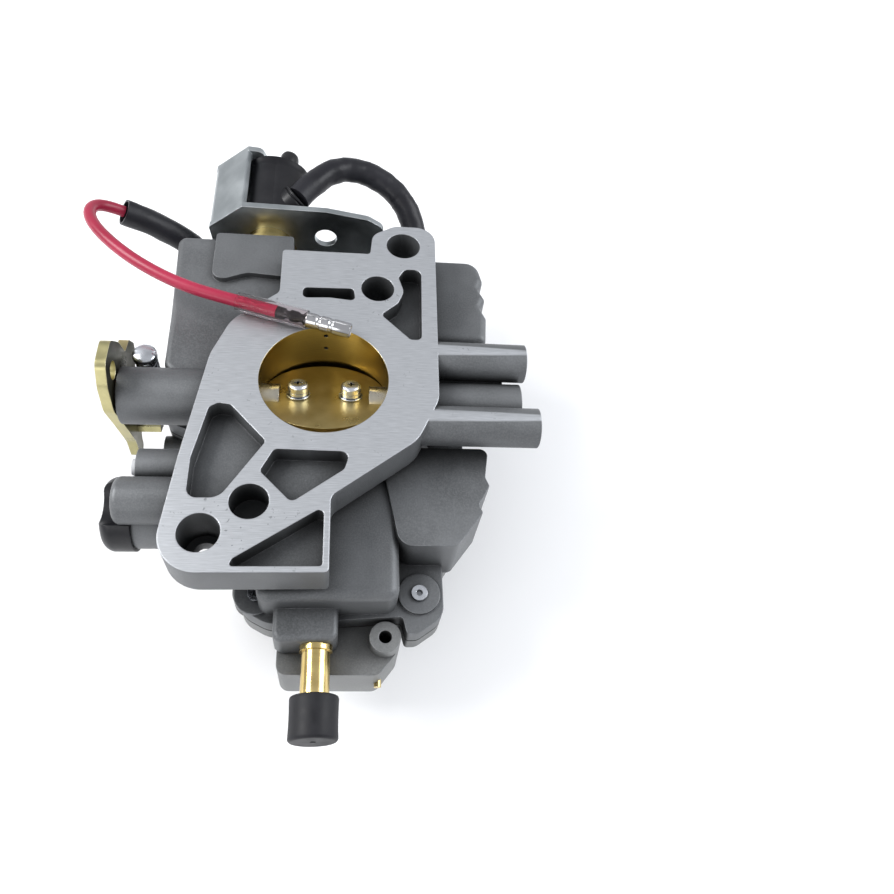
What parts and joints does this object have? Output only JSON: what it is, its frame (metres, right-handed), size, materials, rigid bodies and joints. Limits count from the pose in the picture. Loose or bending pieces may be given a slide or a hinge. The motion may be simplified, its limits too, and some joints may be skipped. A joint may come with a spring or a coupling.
{
  "type": "carburetor",
  "caption": "Single-barrel carburetor with bolted flanges at both ends, throttle and choke butterflies, a float chamber, a capped fuel inlet and a wired fuel shut-off solenoid.",
  "frame": {"origin": "centre of the air-horn mouth, in the plane of the air-horn face, which is the face that the part stands on", "axes": "+Z along the bore, out of the machined engine flange; +Y towards the fuel shut-off solenoid, away from the fuel inlet; +X away from the throttle lever"},
  "size_m": [0.1199, 0.1686, 0.0696],
  "materials": {
    "casting": "as cast, machined faces bright",
    "gasket": "matte fibre",
    "zinc_steel": "bright zinc plate",
    "shaft_steel": "ground",
    "brass": "satin",
    "yellow_zinc": "yellow passivated zinc",
    "black_rubber": "matte",
    "black_plastic": "satin moulding",
    "float_plastic": "matte",
    "pale_plastic": "satin",
    "tin_plate": "bright tin plate",
    "clear_vinyl": "clear",
    "black_vinyl": "satin",
    "red_vinyl": "satin gloss"
  },
  "bodies": {
    "body": {"throttle_body": "casting", "main_body": "casting", "body_gasket": "gasket", "body_screws": "zinc_steel", "idle_screw_spring": "zinc_steel", "fuel_inlet_tube": "brass", "needle_seat": "brass", "float_pin": "shaft_steel", "main_nozzle": "brass", "main_jet": "brass", "side_plug": "black_plastic", "passage_plug": "brass", "solenoid_base": "brass", "solenoid_core": "zinc_steel", "solenoid_frame": "zinc_steel", "solenoid_coil": "black_plastic", "bullet_terminal": "tin_plate", "clear_sleeve": "clear_vinyl", "lead_sleeve": "black_vinyl", "red_wire": "red_vinyl"},
    "throttle": {"throttle_shaft": "shaft_steel", "throttle_plate": "brass", "throttle_plate_screws": "zinc_steel", "throttle_screw_washers": "zinc_steel", "throttle_lever": "yellow_zinc", "throttle_stop_tab": "yellow_zinc"},
    "choke": {"choke_shaft": "shaft_steel", "choke_plate": "brass", "choke_plate_screws": "zinc_steel", "choke_lever": "yellow_zinc"},
    "stop_screw": {"idle_speed_screw": "zinc_steel"},
    "mixture": {"mixture_screw": "brass", "mixture_limiter": "pale_plastic"},
    "cap": {"inlet_cap": "black_rubber"},
    "float": {"float_arm": "brass", "float_body": "float_plastic"},
    "needle": {"inlet_needle": "shaft_steel"},
    "plunger": {"solenoid_plunger": "shaft_steel", "plunger_spring": "shaft_steel"}
  },
  "joints": [
    {"name": "throttle_turn", "type": "hinge", "parent": "body", "child": "throttle", "pos_m": [0, 0, 0.054], "axis": [1, 0, 0], "range_deg": [-46, 24]},
    {"name": "choke_turn", "type": "hinge", "parent": "body", "child": "choke", "pos_m": [0, 0, 0.018], "axis": [1, 0, 0], "range_deg": [0, 75]},
    {"name": "stop_screw_turn", "type": "hinge", "parent": "body", "child": "stop_screw", "pos_m": [-0.0462, 0.0118, 0.054], "axis": [0, 0, 1], "range_deg": [-360, 360]},
    {"name": "mixture_turn", "type": "hinge", "parent": "body", "child": "mixture", "pos_m": [-0.0432, -0.0206, 0.0535], "axis": [1, 0, 0], "range_deg": [-45, 45]},
    {"name": "inlet_cap_pull", "type": "slide", "parent": "body", "child": "cap", "axis": [0, -1, 0], "range_m": [0, 0.012]},
    {"name": "float_swing", "type": "hinge", "parent": "body", "child": "float", "pos_m": [0, -0.044, 0.043], "axis": [1, 0, 0], "range_deg": [0, 12]},
    {"name": "needle_slide", "type": "slide", "parent": "body", "child": "needle", "axis": [0, 1, 0], "range_m": [0, 0.00076]},
    {"name": "plunger_slide", "type": "slide", "parent": "body", "child": "plunger", "axis": [0, 1, 0], "range_m": [0, 0.0025], "stiffness_N_per_m": 60, "springref_m": -0.004}
  ],
  "couplings": [
    {"joint": "needle_slide", "follows": "float_swing", "m_per_rad": 0.0036}
  ]
}
